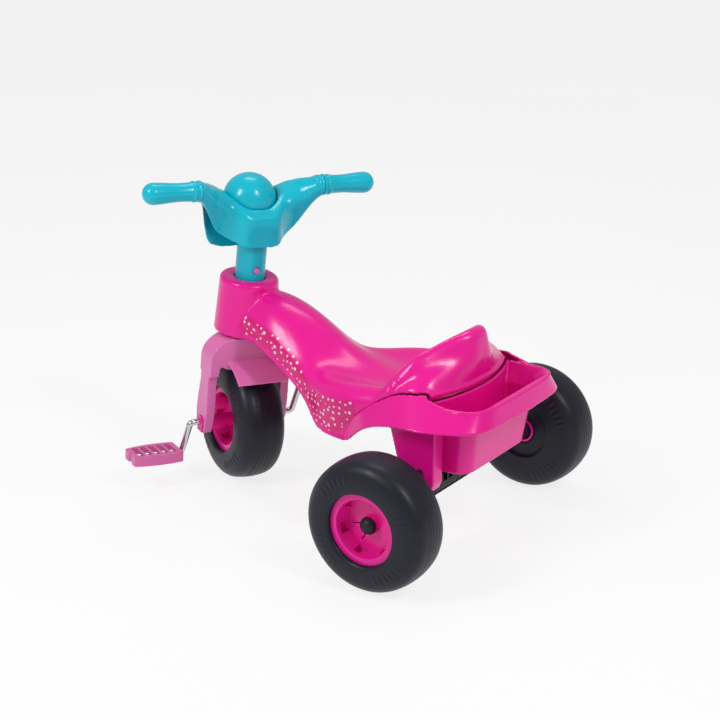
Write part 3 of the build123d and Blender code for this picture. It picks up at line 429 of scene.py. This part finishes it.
class Finish(Enum):
    """The finishes on this tricycle."""

    SHELL_PINK = GlossPlastic("shell_pink", (0.76, 0.004, 0.27), (0.72, 0.003, 0.25))
    FORK_PINK = GlossPlastic("fork_pink", (0.68, 0.16, 0.42), (0.64, 0.14, 0.39), 0.28)
    BAR_TEAL = GlossPlastic("bar_teal", (0.0, 0.43, 0.55), (0.0, 0.40, 0.52))
    TYRE_BLACK = SatinPlastic("tyre_black", (0.009, 0.009, 0.020), (0.006, 0.006, 0.014))
    HUB_PINK = GlossPlastic("hub_pink", (0.76, 0.010, 0.28), (0.70, 0.008, 0.25))
    PEDAL_PINK = GlossPlastic("pedal_pink", (0.62, 0.12, 0.35), (0.58, 0.11, 0.32), 0.30)
    AXLE_BLACK = SatinPlastic("axle_black", (0.010, 0.010, 0.014), (0.016, 0.016, 0.02), 0.42)
    STEEL = PlatedSteel("steel")
    DOTTED_FILM = DottedFilm("dotted_film")


SLOT_FINISH = {finish.value.name: finish for finish in Finish}

OWN_FINISH = {
    "pedal_left": Finish.PEDAL_PINK,
    "pedal_right": Finish.PEDAL_PINK,
    "wheel_spacer_left": Finish.HUB_PINK,
    "wheel_spacer_right": Finish.HUB_PINK,
}


@dataclass
class Finishes:
    """The made materials, one for each finish."""

    made: dict

    @classmethod
    def make(cls) -> "Finishes":
        """Make every material once.

        Returns:
            The set of materials.
        """
        return cls({finish: finish.value.make() for finish in Finish})

    def dress_frame(self) -> None:
        """Give every model node the finish that its slot names."""
        for row in frame["record"]["subparts"]:
            node = frame["nodes"][row["node"]]
            finish = OWN_FINISH.get(row["node"], SLOT_FINISH[row["material_slot"]])
            material = self.made[finish]
            for slot in node.material_slots:
                slot.material = material
            LOG.info("dressed %s", row["node"])


# ---------------------------------------------------------------- moulded skins
def laid_in(name: str, mesh: bpy.types.Mesh) -> bpy.types.Object:
    """Put a mesh into the scene with smooth shading.

    Args:
        name: The new piece's name.
        mesh: Its mesh.

    Returns:
        The new piece.
    """
    piece = bpy.data.objects.new(name, mesh)
    bpy.context.collection.objects.link(piece)
    mesh.polygons.foreach_set("use_smooth", [True] * len(mesh.polygons))
    return piece


@dataclass(frozen=True)
class Softening:
    """A place where the moulding is rounder than its solid."""

    centre: Point
    reach: Point
    rounds: int


@dataclass(frozen=True)
class Push:
    """A place where the moulding stands off its solid by a small shift, the same on both sides."""

    centre: Point
    reach: Point
    shift: Point


@dataclass(frozen=True)
class Thickening:
    """A hidden ball inside a hollow where the wall runs thin, the same on both sides."""

    centre: Point
    radius: float


@dataclass
class MouldedSkin:
    """A moulded piece whose edges are rounded all over, as a blown or injected shell has them."""

    node: str
    body: str
    finish: Finish
    voxel: float
    rounds: int = 8
    faces: int = 190000
    swell: float = 0.0
    smoothing: float = 0.5
    regrowth: float = -0.53
    soft_edge: float = 1.5
    softened: tuple[Softening, ...] = ()
    pushed: tuple[Push, ...] = ()
    thickened: tuple[Thickening, ...] = ()

    def build(self) -> bpy.types.Object:
        """Make the skin from the solid's own surface.

        Returns:
            The skin, standing in for its node.
        """
        piece = laid_in(self.node + "_skin", self._closed_copy())
        settings = {"mode": "VOXEL", "voxel_size": self.voxel, "use_smooth_shade": True}
        self._apply(piece, "REMESH", settings)
        self._fair(piece.data)
        triangles = 2 * len(piece.data.polygons)
        if triangles > self.faces:
            self._apply(piece, "DECIMATE", {"ratio": self.faces / triangles})
        piece.data.polygons.foreach_set("use_smooth", [True] * len(piece.data.polygons))
        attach(piece, self.body)
        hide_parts(self.node)
        LOG.info("%s: %d faces", piece.name, len(piece.data.polygons))
        return piece

    def dress(self, piece: bpy.types.Object, finishes: "Finishes") -> None:
        """Give the skin its finish.

        Args:
            piece: The skin.
            finishes: The made materials.
        """
        piece.data.materials.clear()
        piece.data.materials.append(finishes.made[self.finish])

    def _closed_copy(self) -> bpy.types.Mesh:
        """Copy the node's mesh with its seams welded.

        Returns:
            The copy, with the hidden thickenings in it.
        """
        form = bmesh.new()
        form.from_mesh(frame["nodes"][self.node].data)
        bmesh.ops.remove_doubles(form, verts=form.verts, dist=WELD)
        for ball in self.thickened:
            for side in (1, -1):
                x, y, z = ball.centre
                place = Matrix.Translation((x + AXLE_X, side * y, z))
                bmesh.ops.create_icosphere(form, subdivisions=3, radius=ball.radius, matrix=place)
        mesh = bpy.data.meshes.new(self.node + "_skin")
        form.to_mesh(mesh)
        form.free()
        return mesh

    @staticmethod
    def _apply(piece: bpy.types.Object, kind: str, settings: dict) -> None:
        """Add a modifier and apply it.

        Args:
            piece: The piece.
            kind: The modifier's type.
            settings: Its settings.
        """
        modifier = piece.modifiers.new(kind.lower(), kind)
        for key, value in settings.items():
            setattr(modifier, key, value)
        graph = bpy.context.evaluated_depsgraph_get()
        mesh = bpy.data.meshes.new_from_object(piece.evaluated_get(graph), depsgraph=graph)
        piece.modifiers.clear()
        piece.data = mesh

    def _fair(self, mesh: bpy.types.Mesh) -> None:
        """Round the edges without shrinking the form, then soften the named places further.

        Args:
            mesh: The skin's mesh.
        """
        count = len(mesh.vertices)
        points = np.empty(count * 3)
        mesh.vertices.foreach_get("co", points)
        points = points.reshape(-1, 3)
        ends = np.empty(len(mesh.edges) * 2, dtype=np.int64)
        mesh.edges.foreach_get("vertices", ends)
        ends = ends.reshape(-1, 2)
        degree = np.bincount(ends.ravel(), minlength=count)[:, None]

        def step(factor: float, weight: np.ndarray | float) -> None:
            """Move each point towards the mean of its neighbours."""
            total = np.empty_like(points)
            for axis in range(3):
                ahead = np.bincount(ends[:, 0], points[ends[:, 1], axis], count)
                back = np.bincount(ends[:, 1], points[ends[:, 0], axis], count)
                total[:, axis] = ahead + back
            points[:] += factor * weight * (total / degree - points)

        for _ in range(self.rounds):
            step(self.smoothing, 1.0)
            step(self.regrowth, 1.0)
        for soft in self.softened:
            centre = np.array(soft.centre) + (AXLE_X, 0.0, 0.0)
            away = np.linalg.norm((points - centre) / soft.reach, axis=1)
            weight = np.clip(self.soft_edge - self.soft_edge * away, 0.0, 1.0)[:, None]
            for _ in range(soft.rounds):
                step(self.smoothing, weight)
        for push in self.pushed:
            for side in (1, -1):
                turned = np.array((1.0, side, 1.0))
                centre = np.array(push.centre) * turned + (AXLE_X, 0.0, 0.0)
                away = np.linalg.norm((points - centre) / push.reach, axis=1)
                weight = np.clip(1.0 - away ** 2, 0.0, 1.0)[:, None] ** 2
                points += weight * np.array(push.shift) * turned
        mesh.vertices.foreach_set("co", points.ravel())
        mesh.update()
        if self.swell:
            normals = np.empty(count * 3)
            mesh.vertex_normals.foreach_get("vector", normals)
            points += self.swell * normals.reshape(-1, 3)
            mesh.vertices.foreach_set("co", points.ravel())
            mesh.update()


# ---------------------------------------------------------------- tyres
@dataclass
class TyreSkin:
    """A tyre with tread nicks and plain raised bars, turned from its solid's own section.

    Lengths are in metres, the bars' pitch and turn in degrees, and cut_turn in radians.
    """

    node: str
    body: str
    joint: str
    steps: int = 480
    nick_rings: tuple[float, ...] = (-0.0105, -0.0035, 0.0035, 0.0105)
    nick_width: float = 0.0022
    nick_depth: float = 0.0007
    nick_pitch: int = 3
    groups: int = 4
    bars: int = 6
    bar_pitch: float = 7.0
    bar_turn: float = 3.0
    bar_from: float = 0.064
    bar_to: float = 0.075
    bar_height: float = 0.0007
    bar_margin: float = 0.003
    bar_wall: float = 0.62
    wall_offset: float = 0.02
    tread_radius: float = 0.0875
    crown_radius: float = 0.086
    crown_half: float = 0.014
    fine: float = 0.0011
    medium: float = 1.6
    coarse: float = 0.0045
    shortest: float = 2e-5
    corner: float = 0.3
    spare: float = 0.3
    cut_turn: float = 0.173

    def build(self) -> bpy.types.Object:
        """Turn the section round the wheel's axis and press the pattern into it.

        Returns:
            The tyre, standing in for its node.
        """
        row = next(joint for joint in frame["joints"] if joint["name"] == self.joint)
        centre = np.array(row["pos_m"])
        axis = np.array(row["axis"]) / np.linalg.norm(row["axis"])
        flat = np.cross(axis, (0.0, 0.0, 1.0))
        flat /= np.linalg.norm(flat)
        ahead = math.cos(self.cut_turn) * flat + math.sin(self.cut_turn) * np.cross(flat, axis)
        above = np.cross(ahead, axis)
        section = self._section(centre, axis, ahead, above)
        radius = section[:, 0][:, None]
        offset = section[:, 1][:, None]
        along = np.roll(section, -1, axis=0) - np.roll(section, 1, axis=0)
        along /= np.linalg.norm(along, axis=1)[:, None]
        angle = np.arange(self.steps)[None, :] * (2 * math.pi / self.steps)
        lift = self._relief(section, angle)
        radius = radius + lift * along[:, 1][:, None]
        offset = offset - lift * along[:, 0][:, None]
        spoke = np.cos(angle)[..., None] * ahead + np.sin(angle)[..., None] * above
        points = centre + offset[..., None] * axis + radius[..., None] * spoke
        count = len(section)
        rows, turns = np.meshgrid(np.arange(count), np.arange(self.steps), indexing="ij")
        after = (rows + 1) % count
        beside = (turns + 1) % self.steps
        corners = ((rows, turns), (rows, beside), (after, beside), (after, turns))
        faces = np.stack([a * self.steps + b for a, b in corners], axis=-1).reshape(-1, 4)
        mesh = bpy.data.meshes.new(self.node + "_tread")
        mesh.from_pydata(points.reshape(-1, 3).tolist(), [], faces.tolist())
        form = bmesh.new()
        form.from_mesh(mesh)
        bmesh.ops.recalc_face_normals(form, faces=form.faces)
        form.to_mesh(mesh)
        form.free()
        piece = laid_in(self.node + "_tread", mesh)
        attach(piece, self.body)
        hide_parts(self.node)
        LOG.info("%s: %d faces", piece.name, len(faces))
        return piece

    def dress(self, piece: bpy.types.Object, finishes: "Finishes") -> None:
        """Give the tyre its finish.

        Args:
            piece: The tyre.
            finishes: The made materials.
        """
        piece.data.materials.append(finishes.made[Finish.TYRE_BLACK])

    def _section(
            self, centre: np.ndarray, axis: np.ndarray, ahead: np.ndarray,
            above: np.ndarray) -> np.ndarray:
        """Cut the solid along its axis and walk round the cut.

        Args:
            centre: The wheel's middle.
            axis: The wheel's axis.
            ahead: A direction across the axis.
            above: The direction square to both.

        Returns:
            Points of radius and offset, anticlockwise, closer together on the crown and the walls.
        """
        form = bmesh.new()
        form.from_mesh(frame["nodes"][self.node].data)
        bmesh.ops.remove_doubles(form, verts=form.verts, dist=WELD)
        everything = form.verts[:] + form.edges[:] + form.faces[:]
        place = {"plane_co": centre, "plane_no": above, "clear_inner": True, "clear_outer": True}
        bmesh.ops.bisect_plane(form, geom=everything, **place)
        form.verts.index_update()
        form.edges.index_update()
        first = max(form.verts, key=lambda vert: (np.array(vert.co) - centre) @ ahead)
        loop = [first]
        edge = first.link_edges[0]
        vert = edge.other_vert(first)
        while vert.index != first.index and len(loop) < len(form.verts):
            loop.append(vert)
            edge = next(other for other in vert.link_edges if other.index != edge.index)
            vert = edge.other_vert(vert)
        away = np.array([np.array(vert.co) - centre for vert in loop])
        form.free()
        section = np.stack([away @ ahead, away @ axis], axis=1)
        turned = np.roll(section, -1, axis=0)
        if np.sum(section[:, 0] * turned[:, 1] - section[:, 1] * turned[:, 0]) < 0:
            section = section[::-1]
        return self._divided(section)

    def _divided(self, section: np.ndarray) -> np.ndarray:
        """Space the section's points as the pattern needs, keeping its corners.

        Args:
            section: The cut's points.

        Returns:
            The section, fine on its crown and walls and coarse elsewhere.
        """
        lead = section - np.roll(section, 1, axis=0)
        section = section[np.linalg.norm(lead, axis=1) > self.shortest]
        lead = section - np.roll(section, 1, axis=0)
        trail = np.roll(section, -1, axis=0) - section
        turn = np.abs(lead[:, 0] * trail[:, 1] - lead[:, 1] * trail[:, 0])
        turn /= np.linalg.norm(lead, axis=1) * np.linalg.norm(trail, axis=1)
        kept = []
        walked = self.coarse
        for point, bend, run in zip(section, turn, np.linalg.norm(lead, axis=1)):
            walked += run
            if bend > self.corner or walked >= self._spacing(point):
                kept.append(point)
                walked = 0.0
        dense = []
        for start, end in zip(kept, kept[1:] + kept[:1]):
            gaps = np.linalg.norm(end - start) / self._spacing((start + end) / 2)
            parts = max(1, math.ceil(gaps - self.spare))
            dense.extend(start + (end - start) * step / parts for step in range(parts))
        return np.array(dense)

    def _spacing(self, point: np.ndarray) -> float:
        """The gap between the section's points near a place.

        Args:
            point: Its radius and offset.

        Returns:
            The gap in metres.
        """
        radius, offset = point
        if radius > self.crown_radius and abs(offset) < self.crown_half:
            return self.fine
        near_bars = self.bar_from - self.bar_margin < radius < self.bar_to + self.bar_margin
        if near_bars and abs(offset) > self.wall_offset:
            return self.medium * self.fine
        return self.coarse

    def _relief(self, section: np.ndarray, angle: np.ndarray) -> np.ndarray:
        """How far each point stands out from the plain tyre.

        Args:
            section: The section's points.
            angle: The turns, in radians.

        Returns:
            The lift along the section's normal, in metres.
        """
        radius = section[:, 0][:, None]
        offset = section[:, 1][:, None]
        half = section[:, 1].max()
        number = np.arange(angle.shape[1])[None, :]
        lift = np.zeros((len(section), angle.shape[1]))
        outer = radius > self.tread_radius
        for index, ring in enumerate(self.nick_rings):
            inside = (np.abs(offset - ring) < self.nick_width / 2 + WELD) & outer
            lift -= self.nick_depth * inside * ((number + index) % self.nick_pitch == 0)
        degrees = np.degrees(angle)
        span = 360.0 / self.groups
        run = self.bars * self.bar_pitch
        within = (degrees % span) - (span - run) / 2
        barred = (within > 0) & (within < run) & (within % self.bar_pitch < self.bar_turn)
        wall = (radius > self.bar_from) & (radius < self.bar_to)
        outside = np.abs(offset) > half * self.bar_wall
        return lift + self.bar_height * barred * (wall & outside)


# ---------------------------------------------------------------- printed films
@dataclass
class FlankFilm:
    """A dotted film on one flank of the shell, between an upper and a lower line.

    The lines are in millimetres ahead of the rear axle and above the floor.
    """

    side: int
    upper: tuple[tuple[float, float], ...] = (
        (343, 270), (318, 266), (286, 256.5), (266, 248), (248, 236), (231, 224.5), (218, 213),
        (206, 203.5), (192, 199.5), (172, 200.5), (150, 203), (124, 205.5), (99, 207))
    lower: tuple[tuple[float, float], ...] = (
        (343, 243), (320, 239), (297, 231), (277, 221), (258, 210), (243, 202.5), (229, 192),
        (214, 181), (201, 170.5), (186, 158), (164, 153), (132, 156), (101, 183))
    columns: int = 150
    rows: int = 26
    proud: float = 0.0003
    ray_from: float = 0.3
    fallback_from: float = 0.1

    def build(self, skin: bpy.types.Object) -> bpy.types.Object:
        """Lay the film on the shell's skin.

        Args:
            skin: The shell's skin.

        Returns:
            The film.
        """
        shell = bmesh.new()
        shell.from_mesh(skin.data)
        tree = BVHTree.FromBMesh(shell)
        shell.free()
        top = self._line(self.upper)
        foot = self._line(self.lower)
        form = bmesh.new()
        grid = []
        for column in range(self.columns + 1):
            strip = []
            for row in range(self.rows + 1):
                x, z = foot[column] + (top[column] - foot[column]) * (row / self.rows)
                start = Vector((x + AXLE_X, self.side * self.ray_from, z))
                inward = Vector((0.0, -self.side, 0.0))
                hit, normal, _, _ = tree.ray_cast(start, inward, self.ray_from)
                if hit is None:
                    beside = Vector((x + AXLE_X, self.side * self.fallback_from, z))
                    hit, normal, _, _ = tree.find_nearest(beside)
                strip.append(form.verts.new(hit + normal * self.proud))
            grid.append(strip)
        for left, right in zip(grid, grid[1:]):
            for low in range(self.rows):
                form.faces.new((left[low], right[low], right[low + 1], left[low + 1]))
        bmesh.ops.recalc_face_normals(form, faces=form.faces)
        word = "left" if self.side > 0 else "right"
        mesh = bpy.data.meshes.new("dotted_film_" + word)
        form.to_mesh(mesh)
        form.free()
        piece = laid_in("dotted_film_" + word, mesh)
        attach(piece, "root")
        LOG.info("%s: %d faces", piece.name, len(mesh.polygons))
        return piece

    def dress(self, piece: bpy.types.Object, finishes: "Finishes") -> None:
        """Give the film its print.

        Args:
            piece: The film.
            finishes: The made materials.
        """
        piece.data.materials.append(finishes.made[Finish.DOTTED_FILM])

    def _line(self, points: Sequence[tuple[float, float]]) -> np.ndarray:
        """A smooth line through points.

        Args:
            points: Places along the tricycle and above the floor, in millimetres.

        Returns:
            As many places as the film has columns, in metres.
        """
        knots = np.array(points) * MM
        before = np.vstack((2 * knots[0] - knots[1], knots[:-1]))
        after = np.vstack((knots[1:], 2 * knots[-1] - knots[-2]))
        slope = (after - before) / 2
        places = np.linspace(0, len(knots) - 1 - 1e-9, self.columns + 1)
        index = places.astype(int)
        part = (places - index)[:, None]
        start, end = knots[index], knots[index + 1]
        rise = part ** 2 * (3 - 2 * part)
        lead = part * (1 - part) ** 2
        trail = part ** 2 * (part - 1)
        return start * (1 - rise) + end * rise + slope[index] * lead + slope[index + 1] * trail


# ---------------------------------------------------------------- studio
@dataclass(frozen=True)
class SoftBox:
    """A soft box that faces the object.

    Its turn is the bearing from the camera's side towards the camera's right, and its tilt the
    height above the horizon, both in degrees. Its distance and size are in metres.
    """

    name: str
    turn: float
    tilt: float
    away: float
    size: tuple[float, float]
    watts: float
    aim_height: float = 0.2

    def place(self, heading: float) -> None:
        """Add the light.

        Args:
            heading: The camera's heading in degrees.
        """
        data = bpy.data.lights.new(self.name, "AREA")
        data.shape = "RECTANGLE"
        data.size, data.size_y = self.size
        data.energy = self.watts
        lamp = bpy.data.objects.new(self.name, data)
        bpy.context.collection.objects.link(lamp)
        bearing = math.radians(heading + 180.0 + self.turn)
        rise = math.radians(self.tilt)
        flat = math.cos(rise) * self.away
        height = self.aim_height + math.sin(rise) * self.away
        lamp.location = (flat * math.cos(bearing), flat * math.sin(bearing), height)
        aim = Vector((0.0, 0.0, self.aim_height)) - lamp.location
        lamp.rotation_euler = aim.to_track_quat("-Z", "Y").to_euler()


@dataclass(frozen=True)
class Studio:
    """The pale floor, the soft boxes, the even surround and the camera."""

    lens: float = 82.33
    sensor: float = 36.0
    elevation: float = 18.79
    heading: float = -55.99
    from_axle: Point = (-1.0841, 1.8563, 0.9847)
    room: float = 0.45
    backdrop: float = 0.947
    floor_size: float = 60.0
    floor_gap: float = 0.0003
    floor_glow: float = 0.82
    floor_tones: tuple[float, float] = (0.14, 0.16)
    floor_scale: float = 1.5
    floor_roughness: float = 0.9
    floor_mottle: float = 0.05
    boxes: tuple[SoftBox, ...] = (
        SoftBox("left_box", -52.0, 40.0, 2.2, (0.34, 0.7), 19.0),
        SoftBox("right_box", 42.0, 42.0, 2.2, (0.28, 0.6), 15.0),
        SoftBox("top_box", 180.0, 70.0, 2.2, (1.0, 0.5), 9.0),
    )

    def place_camera(self) -> None:
        """Put the camera where it looks down on the rider's left side from behind."""
        data = bpy.data.cameras.new("camera")
        data.lens = self.lens
        data.sensor_width = self.sensor
        camera = bpy.data.objects.new("camera", data)
        bpy.context.collection.objects.link(camera)
        camera.location = Vector(self.from_axle) + Vector((AXLE_X, 0.0, 0.0))
        tilt = math.radians(self.elevation)
        turn = math.radians(self.heading)
        flat = math.cos(tilt)
        look = Vector((flat * math.cos(turn), flat * math.sin(turn), -math.sin(tilt)))
        camera.rotation_euler = look.to_track_quat("-Z", "Y").to_euler()
        bpy.context.scene.camera = camera

    def lay_floor(self) -> None:
        """Lay a large pale floor under the wheels."""
        foot = CAD_BOX[0][2] - self.floor_gap
        bpy.ops.mesh.primitive_plane_add(size=self.floor_size, location=(0.0, 0.0, foot))
        floor = bpy.context.object
        floor.name = "studio_floor"
        kit = NodeKit("studio_floor")
        cloud = kit.noise(self.floor_scale)
        dark, light = self.floor_tones
        colour = kit.mix(cloud, (dark,) * 3, (light,) * 3)
        constants = {
            "Specular IOR Level": 0.0, "Emission Color": (1.0, 1.0, 1.0, 1.0),
            "Emission Strength": self.floor_glow}
        roughness = self.floor_roughness + cloud * self.floor_mottle
        varying = {"Base Color": colour, "Roughness": roughness}
        floor.data.materials.append(kit.finish(constants, varying))

    def light_room(self) -> None:
        """Add the soft boxes and the even white surround."""
        for box in self.boxes:
            box.place(self.heading)
        world = bpy.data.worlds.new("studio")
        bpy.context.scene.world = world
        world.use_nodes = True
        tree = world.node_tree
        back = tree.nodes["Background"]
        back.inputs["Color"].default_value = (1.0, 1.0, 1.0, 1.0)
        rays = tree.nodes.new("ShaderNodeLightPath")
        strength = tree.nodes.new("ShaderNodeMapRange")
        strength.inputs["To Min"].default_value = self.room
        strength.inputs["To Max"].default_value = self.backdrop
        tree.links.new(rays.outputs["Is Camera Ray"], strength.inputs["Value"])
        tree.links.new(strength.outputs["Result"], back.inputs["Strength"])
        bpy.context.scene.view_settings.view_transform = "Standard"
        bpy.context.scene.view_settings.look = "None"


# Places are in metres ahead of the rear axle, to the left of the middle and above the floor.
# The back rest's crest, the spine where it meets the head, and the cowl round the stem.
CREST = Softening((0.000, 0.0, 0.292), (0.050, 0.085, 0.040), 110)
NECK = Softening((0.345, 0.0, 0.300), (0.040, 0.060, 0.050), 30)
COWL = Softening((0.375, 0.0, 0.385), (0.090, 0.100, 0.080), 22)

REST_LEAN = Push((-0.012, 0.060, 0.282), (0.050, 0.055, 0.055), (0.004, -0.003, -0.0035))
REST_PEAK = Push((0.002, 0.048, 0.290), (0.060, 0.065, 0.060), (0.0040, -0.001, -0.0040))

REST_ENDS = (
    Thickening((0.032, 0.088, 0.252), 0.008),
    Thickening((0.038, 0.095, 0.244), 0.008),
    Thickening((0.044, 0.101, 0.236), 0.007),
    Thickening((0.050, 0.106, 0.2295), 0.0055),
)

SKINS = (
    MouldedSkin(
        "body_shell", "root", Finish.SHELL_PINK, 0.0016, swell=0.0008,
        softened=(CREST, NECK), pushed=(REST_LEAN, REST_PEAK), thickened=REST_ENDS),
    MouldedSkin("rear_tub", "root", Finish.SHELL_PINK, 0.0015, swell=0.0008),
    MouldedSkin("handlebar", "steering", Finish.BAR_TEAL, 0.0013, softened=(COWL,)),
    MouldedSkin("fork", "steering", Finish.FORK_PINK, 0.0012),
    MouldedSkin("grip_left", "steering", Finish.BAR_TEAL, 0.0008),
    MouldedSkin("grip_right", "steering", Finish.BAR_TEAL, 0.0008),
)

TYRES = (
    TyreSkin("front_tyre", "front_wheel", "front_wheel_spin"),
    TyreSkin("rear_tyre_left", "rear_wheel_left", "rear_wheel_left_spin"),
    TyreSkin("rear_tyre_right", "rear_wheel_right", "rear_wheel_right_spin"),
)


def main() -> None:
    """Build the looks in order."""
    logging.basicConfig(level=logging.INFO, format="%(name)s: %(message)s")
    studio = Studio()
    studio.place_camera()
    studio.lay_floor()
    studio.light_room()
    finishes = Finishes.make()
    finishes.dress_frame()
    for part in SKINS + TYRES:
        piece = part.build()
        part.dress(piece, finishes)
    shell = bpy.data.objects["body_shell_skin"]
    for side in (1, -1):
        film = FlankFilm(side)
        film.dress(film.build(shell), finishes)


if __name__ == "__main__":
    main()
